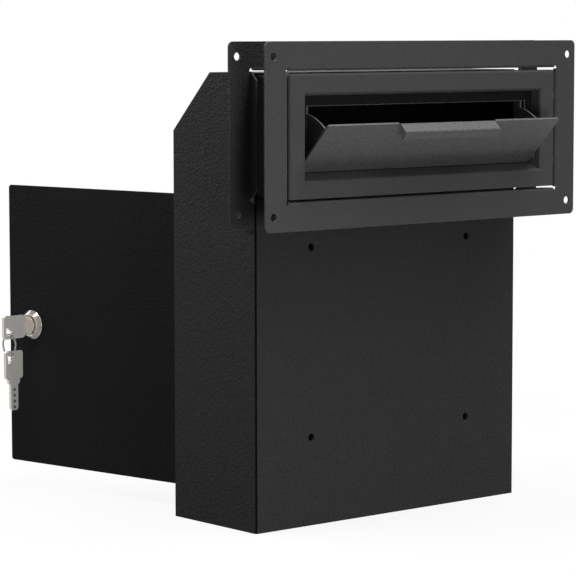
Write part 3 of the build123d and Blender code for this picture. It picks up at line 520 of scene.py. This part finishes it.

# %% [markdown]
# ## Blanking caps
#
# The four holes of the front wall are spare: they are only used when the box is also screwed to the door.
# Small coated steel discs close them from inside; their near-black tone is painted shade, so they look
# black from the front as open holes would. One disc is modelled and the other three are copies with their
# own meshes. The frame's record of the bolt patterns says where the holes are.

# %% Blanking caps
SHEET = 1.5 * MM
CAP_RADIUS = 4.5 * MM
CAP_THICK = 1.2 * MM
CAP_SIDES = 48
holes = next(mount for mount in frame["record"]["mounts"] if mount["name"] == "front_wall_holes")
half_x = holes["dims"]["spacing_x_mm"] * MM / 2
half_z = holes["dims"]["spacing_y_mm"] * MM / 2
middle_z = holes["pos_m"][2]
cap_places = [(x, z) for x in (-half_x, half_x) for z in (middle_z - half_z, middle_z + half_z)]
wall_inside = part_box("case_wrap")[0].y + SHEET
first_x, first_z = cap_places[0]
bpy.ops.mesh.primitive_cylinder_add(
    vertices=CAP_SIDES,
    radius=CAP_RADIUS,
    depth=CAP_THICK,
    location=(first_x, wall_inside + CAP_THICK / 2, first_z),
    rotation=(math.pi / 2, 0, 0),
)
first_cap = bpy.context.object
bpy.ops.object.transform_apply(location=True, rotation=True)
first_cap.data.materials.append(cap_painted_shade_coat)
round_edges(first_cap, SMALL_EDGE, MAIN_SLOT)
caps = [first_cap]
for x, z in cap_places[1:]:
    select_only(first_cap)
    bpy.ops.object.duplicate()
    cap = bpy.context.object
    cap.location = (x - first_x, 0, z - first_z)
    bpy.ops.object.transform_apply(location=True)
    caps.append(cap)
for number, cap in enumerate(caps, 1):
    cap.name = f"hole_cap_{number}"
    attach(cap, "case")
print(len(caps), "caps,", len(first_cap.data.polygons), "faces each")

# %% [markdown]
# ## White ground
#
# The picture has a white ground. More light on the object would bleach it, so the rays are told apart
# instead: camera, mirror and glass rays see the floor and the world as nearly plain white, while the
# light that reaches the object comes from the lamps and a dimmer world.


# %% World
def seen_directly(owner):
    """1 for camera, glossy and transmission rays, and 0 for the rays that carry light."""
    path = add_node(owner, "ShaderNodeLightPath").outputs
    first = add_node(
        owner,
        "ShaderNodeMath",
        {"operation": "MAXIMUM"},
        {0: path["Is Camera Ray"], 1: path["Is Glossy Ray"]},
    )
    second = add_node(
        owner,
        "ShaderNodeMath",
        {"operation": "MAXIMUM"},
        {0: first.outputs["Value"], 1: path["Is Transmission Ray"]},
    )
    return second.outputs["Value"]


WORLD_LIGHT = 0.03  # how strongly the world lights the object
WORLD_SEEN = 1.0  # plain white where it is seen
world = bpy.data.worlds.new("studio")
bpy.context.scene.world = world
world.use_nodes = True
background = world.node_tree.nodes["Background"]
background.inputs["Color"].default_value = linear("#ffffff")
strength = add_node(
    world,
    "ShaderNodeMapRange",
    inputs={"Value": seen_directly(world), "To Min": WORLD_LIGHT, "To Max": WORLD_SEEN},
)
world.node_tree.links.new(strength.outputs["Result"], background.inputs["Strength"])
print("World strength", WORLD_SEEN, "where it is seen and", WORLD_LIGHT, "as light")

# %% [markdown]
# The floor is a sheet of matt white paper. Paper alone would look grey beside the white world, so most of
# what the camera sees of it is plain white: the rest still takes the light, which leaves a faint shadow
# round the object. Far from the object no shadow falls, and the paper is all white, so no edge shows.

# %% Floor
FLOOR_RADIUS = 6.0  # metres
FLOOR_SIDES = 96
WHITE_NEAR = 0.86  # share of plain white in the floor beside the object, where its shadow falls
SHADOW_REACH = 0.7  # metres from the object's middle to where the floor is all white
FLOOR_WHITE = 0.9
FLOOR_BOUNCE = 0.1  # what the object sees of it, so its lower half isn't lit from below
bpy.ops.mesh.primitive_circle_add(
    vertices=FLOOR_SIDES, radius=FLOOR_RADIUS, fill_type="NGON", location=(0, 0, cad_box[0][2])
)
floor = bpy.context.object
floor.name = "floor"
bpy.ops.object.transform_apply(location=True)
paper, paper_shader = new_surface("floor_paper_matt", Roughness=0.9, Specular_IOR_Level=0.0)
whiteness = add_node(
    paper,
    "ShaderNodeMapRange",
    inputs={"Value": seen_directly(paper), "To Min": FLOOR_BOUNCE, "To Max": FLOOR_WHITE},
)
paper.node_tree.links.new(whiteness.outputs["Result"], paper_shader.inputs["Base Color"])
place = add_node(paper, "ShaderNodeTexCoord").outputs["Object"]
distance = add_node(paper, "ShaderNodeVectorMath", {"operation": "LENGTH"}, {0: place})
share = add_node(
    paper,
    "ShaderNodeMapRange",
    inputs={
        "Value": distance.outputs["Value"],
        "From Max": SHADOW_REACH,
        "To Min": WHITE_NEAR,
        "To Max": 1.0,
    },
)
white_share = add_node(
    paper,
    "ShaderNodeMath",
    {"operation": "MULTIPLY"},
    {0: share.outputs["Result"], 1: seen_directly(paper)},
)
white = add_node(paper, "ShaderNodeEmission", inputs={"Color": linear("#ffffff"), "Strength": 1.0})
both = add_node(
    paper,
    "ShaderNodeMixShader",
    inputs={
        0: white_share.outputs["Value"],
        1: paper_shader.outputs["BSDF"],
        2: white.outputs["Emission"],
    },
)
output = paper.node_tree.nodes["Material Output"]
paper.node_tree.links.new(both.outputs["Shader"], output.inputs["Surface"])
floor.data.materials.append(paper)
print("Floor", 2 * FLOOR_RADIUS, "m across, plain white from", SHADOW_REACH, "m outwards")

# %% [markdown]
# ## Lamps
#
# The surfaces are dark and grainy, so each lamp is placed for what it grazes. A high one on the right
# lights what faces up and grazes the front. A strong one far behind on the left grazes the side and
# brings out its grain, and a small one close above the side makes it fade downwards. A small one near the
# front's left half makes the front fade to the right, two weak ones fill the flange and scoop, and a
# narrow spot picks out the keys.

# %% Area lamps
LAMPS = {  # name: place in metres, width in metres, power in watts
    "overhead": ((0.62, -0.6, 2.3), 1.2, 38.0),
    "rear_left": ((-0.38, 2.14, 1.19), 1.2, 21.0),
    "front_low": ((0.05, -2.05, 0.35), 1.2, 2.5),
    "front_near": ((-0.22, -0.62, 0.12), 0.2, 1.0),
    "front_high": ((-0.12, -1.41, 1.59), 1.0, 4.3),
    "side_top_near": ((-0.3, 0.1, 0.9), 0.3, 4.2),
}
AIM = Vector((0.0, 0.0, 0.18))
for name, (place, size, power) in LAMPS.items():
    bpy.ops.object.light_add(type="AREA", location=place)
    lamp = bpy.context.object
    lamp.name = name
    lamp.data.size = size
    lamp.visible_camera = False
    lamp.data.energy = power
    lamp.rotation_euler = (AIM - Vector(place)).to_track_quat("-Z", "Y").to_euler()
print("Area lamps in watts:", {name: power for name, (place, size, power) in LAMPS.items()})

# %% Spot on the keys
KEY_SPOT_PLACE = (-0.35, -1.3, 0.3)
KEY_SPOT_AIM = Vector((-0.152, 0.22, 0.105))
KEY_SPOT_CONE = math.radians(3.4)
KEY_SPOT_POWER = 11.0
KEY_SPOT_BLEND = 0.6  # share of the cone that fades towards its rim
KEY_SPOT_RADIUS = 0.02  # metres, small enough to keep the glints sharp
bpy.ops.object.light_add(type="SPOT", location=KEY_SPOT_PLACE)
key_spot = bpy.context.object
key_spot.name = "key_spot"
key_spot.data.energy = KEY_SPOT_POWER
key_spot.data.spot_size = KEY_SPOT_CONE
key_spot.data.spot_blend = KEY_SPOT_BLEND
key_spot.data.shadow_soft_size = KEY_SPOT_RADIUS
key_spot.rotation_euler = (KEY_SPOT_AIM - Vector(KEY_SPOT_PLACE)).to_track_quat("-Z", "Y").to_euler()
print("Key spot", KEY_SPOT_POWER, "W in a cone of", round(math.degrees(KEY_SPOT_CONE), 1), "degrees")

# %% [markdown]
# ## Finish
#
# The standard view shows each colour about as it was written. The finish may round the steel but not
# change its size.

# %% Finish
bpy.context.scene.view_settings.view_transform = "Standard"
